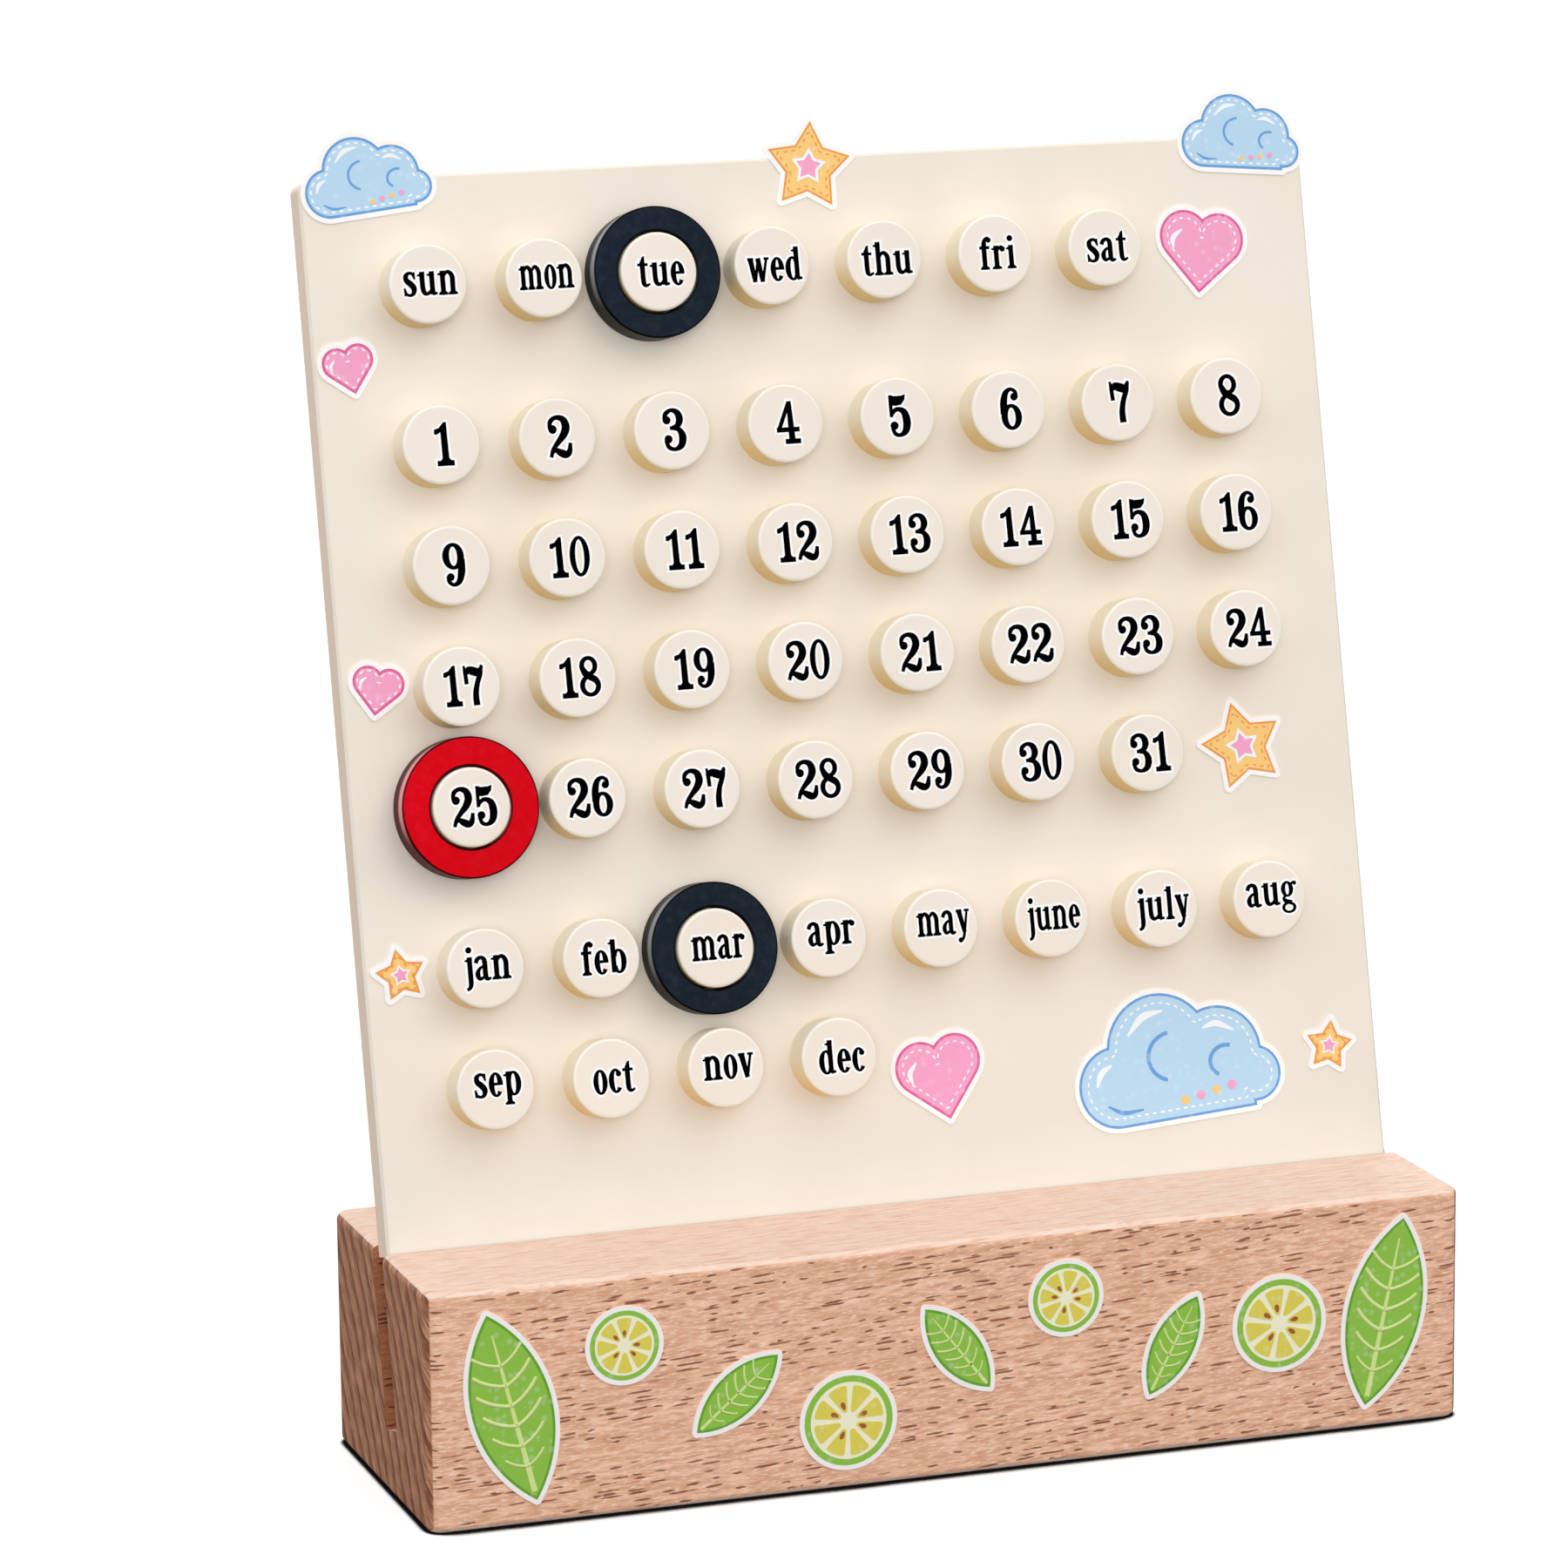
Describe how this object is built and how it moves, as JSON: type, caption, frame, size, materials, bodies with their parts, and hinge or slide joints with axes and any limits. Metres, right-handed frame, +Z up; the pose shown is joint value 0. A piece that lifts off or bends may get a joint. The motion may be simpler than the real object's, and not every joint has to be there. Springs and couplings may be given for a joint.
{
  "type": "perpetual desk calendar",
  "caption": "Leaning board of round day, date and month buttons in a slotted wooden block, with lift-off marker rings.",
  "frame": {"origin": "centre of the block's flat underside, on the surface it stands on", "axes": "+Z up, -Y out of the front, +X to the reader's right"},
  "size_m": [0.201, 0.0796, 0.2434],
  "materials": {
    "beech": "sanded and bare, with short dark flecks",
    "board_plastic": "cream, fine satin",
    "button_plastic": "cream, satin, printed on top",
    "black_plastic": "satin face, glossy rim",
    "red_plastic": "satin face, glossy rim",
    "sticker_vinyl": "die-cut vinyl with a white border"
  },
  "bodies": {
    "base": {"base_block": "beech", "leaf_stickers": "sticker_vinyl", "citrus_stickers": "sticker_vinyl"},
    "board": {"button_board": "board_plastic", "button_sun": "button_plastic", "button_mon": "button_plastic", "button_tue": "button_plastic", "button_wed": "button_plastic", "button_thu": "button_plastic", "button_fri": "button_plastic", "button_sat": "button_plastic", "button_01": "button_plastic", "button_02": "button_plastic", "button_03": "button_plastic", "button_04": "button_plastic", "button_05": "button_plastic", "button_06": "button_plastic", "button_07": "button_plastic", "button_08": "button_plastic", "button_09": "button_plastic", "button_10": "button_plastic", "button_11": "button_plastic", "button_12": "button_plastic", "button_13": "button_plastic", "button_14": "button_plastic", "button_15": "button_plastic", "button_16": "button_plastic", "button_17": "button_plastic", "button_18": "button_plastic", "button_19": "button_plastic", "button_20": "button_plastic", "button_21": "button_plastic", "button_22": "button_plastic", "button_23": "button_plastic", "button_24": "button_plastic", "button_25": "button_plastic", "button_26": "button_plastic", "button_27": "button_plastic", "button_28": "button_plastic", "button_29": "button_plastic", "button_30": "button_plastic", "button_31": "button_plastic", "button_jan": "button_plastic", "button_feb": "button_plastic", "button_mar": "button_plastic", "button_apr": "button_plastic", "button_may": "button_plastic", "button_june": "button_plastic", "button_july": "button_plastic", "button_aug": "button_plastic", "button_sep": "button_plastic", "button_oct": "button_plastic", "button_nov": "button_plastic", "button_dec": "button_plastic", "cloud_stickers": "sticker_vinyl", "heart_stickers": "sticker_vinyl", "star_stickers": "sticker_vinyl"},
    "week_ring": {"week_ring": "black_plastic"},
    "date_ring": {"date_ring": "red_plastic"},
    "month_ring": {"month_ring": "black_plastic"}
  },
  "joints": [
    {"name": "board_lift", "type": "slide", "parent": "base", "child": "board", "axis": [0, 0.2284, 0.9736], "range_m": [0, 0.04]},
    {"name": "week_ring_pull", "type": "slide", "parent": "board", "child": "week_ring", "axis": [0, -0.9736, 0.2284], "range_m": [0, 0.009]},
    {"name": "date_ring_pull", "type": "slide", "parent": "board", "child": "date_ring", "axis": [0, -0.9736, 0.2284], "range_m": [0, 0.009]},
    {"name": "month_ring_pull", "type": "slide", "parent": "board", "child": "month_ring", "axis": [0, -0.9736, 0.2284], "range_m": [0, 0.009]}
  ]
}
